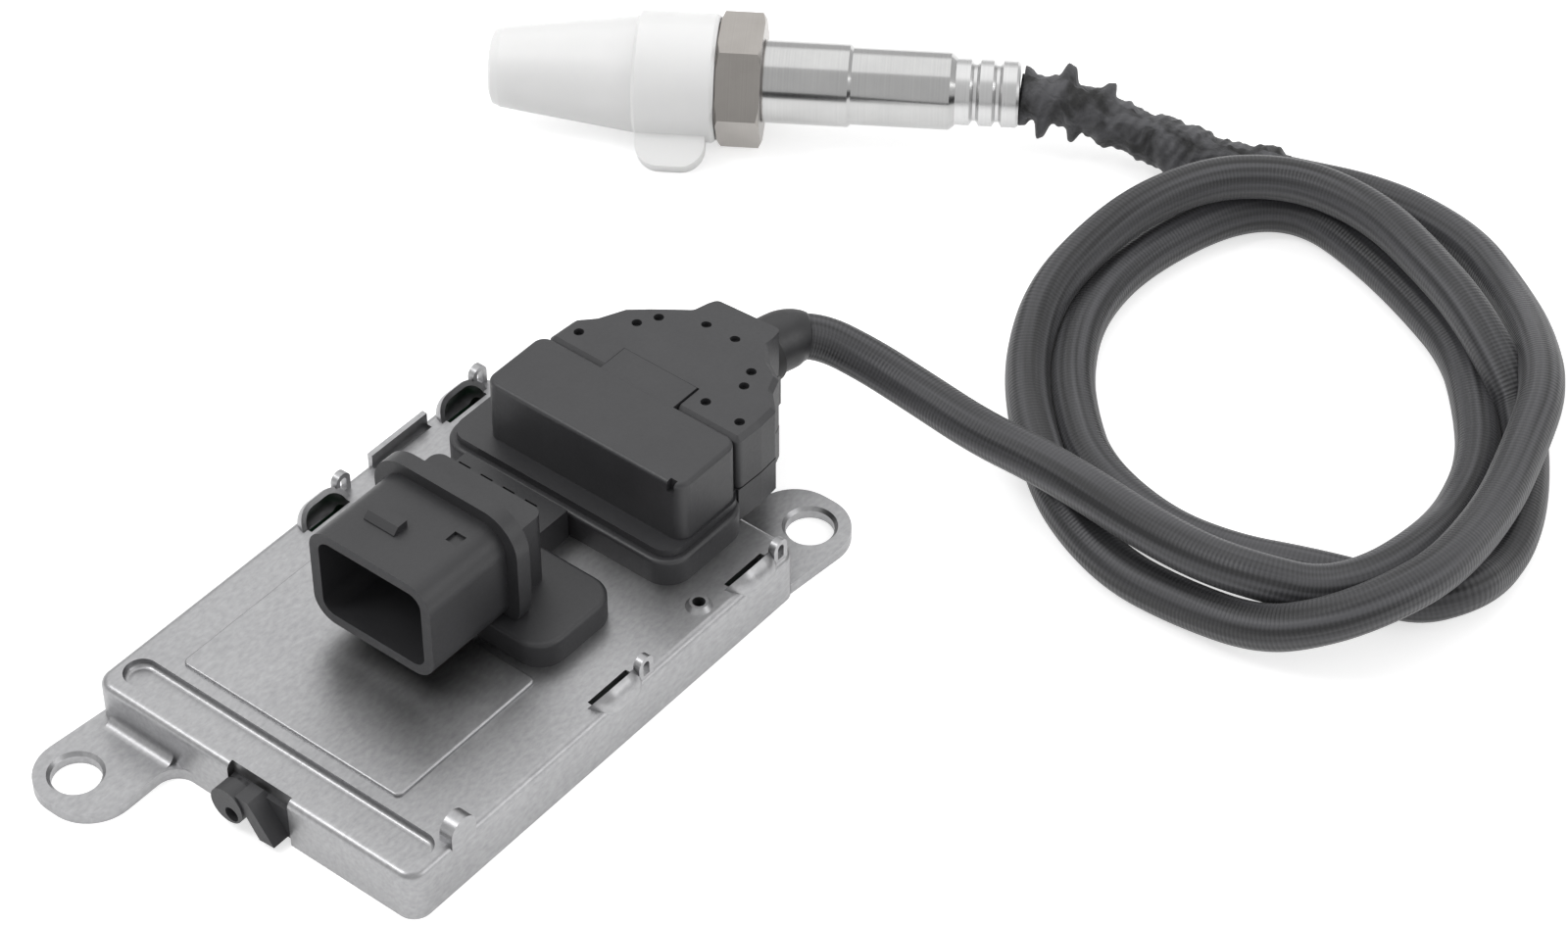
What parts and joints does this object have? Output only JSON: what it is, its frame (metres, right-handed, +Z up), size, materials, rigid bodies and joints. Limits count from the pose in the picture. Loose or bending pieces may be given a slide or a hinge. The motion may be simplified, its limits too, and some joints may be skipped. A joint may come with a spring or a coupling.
{
  "type": "nitrogen oxide sensor",
  "caption": "Exhaust gas sensor: flat aluminium control module with two ears and a black socket, a cable hood, a coiled round cable and a screw-in probe under its white cap.",
  "frame": {"origin": "Centre of the control module's underside, on the surface that the whole object lies on.", "axes": "+X along the module towards the cable hood, the socket's mouth faces -X; +Y towards the long side with the front ear; +Z up from the surface."},
  "size_m": [0.2614, 0.2221, 0.036],
  "materials": {
    "case_aluminium": "pressed sheet, matt grey",
    "plate_aluminium": "rolled sheet, plain",
    "board_laminate": "green lacquered laminate",
    "chip_plastic": "moulded black",
    "pad_silicone": "soft grey-blue",
    "can_aluminium": "drawn can",
    "choke_ferrite": "dark ferrite",
    "socket_plastic": "black moulded, satin",
    "seal_silicone": "red-brown silicone",
    "pin_tin": "tin plated",
    "hood_plastic": "black moulded, satin",
    "clamp_plastic": "black moulded, satin",
    "grommet_rubber": "soft black",
    "boot_plastic": "black, ribbed tube",
    "clip_plastic": "black moulded",
    "cable_jacket": "dark grey braided jacket",
    "sleeve_textile": "dark heat-proof textile",
    "nut_steel": "turned stainless steel",
    "body_steel": "turned stainless steel",
    "guard_steel": "drawn stainless steel",
    "zirconia": "sintered white",
    "bush_ceramic": "unglazed white",
    "talc": "pressed powder",
    "spring_nickel": "nickel strip",
    "sleeve_steel": "polished stainless tube",
    "ferrule_steel": "crimped steel",
    "cap_plastic": "translucent white polyethylene"
  },
  "bodies": {
    "sensor": {"housing_cover": "case_aluminium", "base_plate": "plate_aluminium", "circuit_board": "board_laminate", "controller_chip": "chip_plastic", "power_chips": "chip_plastic", "heat_pads": "pad_silicone", "capacitors": "can_aluminium", "choke": "choke_ferrite", "connector_header": "socket_plastic", "header_seal": "seal_silicone", "connector_pins": "pin_tin", "cable_hood": "hood_plastic", "hood_terminals": "pin_tin", "clamp_cover": "clamp_plastic", "cable_grommet": "grommet_rubber", "exit_boot": "boot_plastic", "edge_clip": "clip_plastic", "module_lead": "cable_jacket", "cable_coil": "cable_jacket", "probe_lead": "cable_jacket", "lead_sleeve": "sleeve_textile", "probe_body": "body_steel", "outer_protection_tube": "guard_steel", "inner_protection_tube": "guard_steel", "sensing_element": "zirconia", "front_bush": "bush_ceramic", "talc_packing": "talc", "rear_bush": "bush_ceramic", "contact_holder": "bush_ceramic", "contact_springs": "spring_nickel", "rear_sleeve": "sleeve_steel", "crimp_ferrule": "ferrule_steel", "wire_grommet": "grommet_rubber"},
    "nut": {"union_nut": "nut_steel", "protective_cap": "cap_plastic"}
  },
  "joints": [
    {"name": "nut_turn", "type": "hinge", "parent": "sensor", "child": "nut", "pos_m": [0.1367, 0.05, 0.012], "axis": [0.5563, -0.831, 0], "continuous": true}
  ]
}
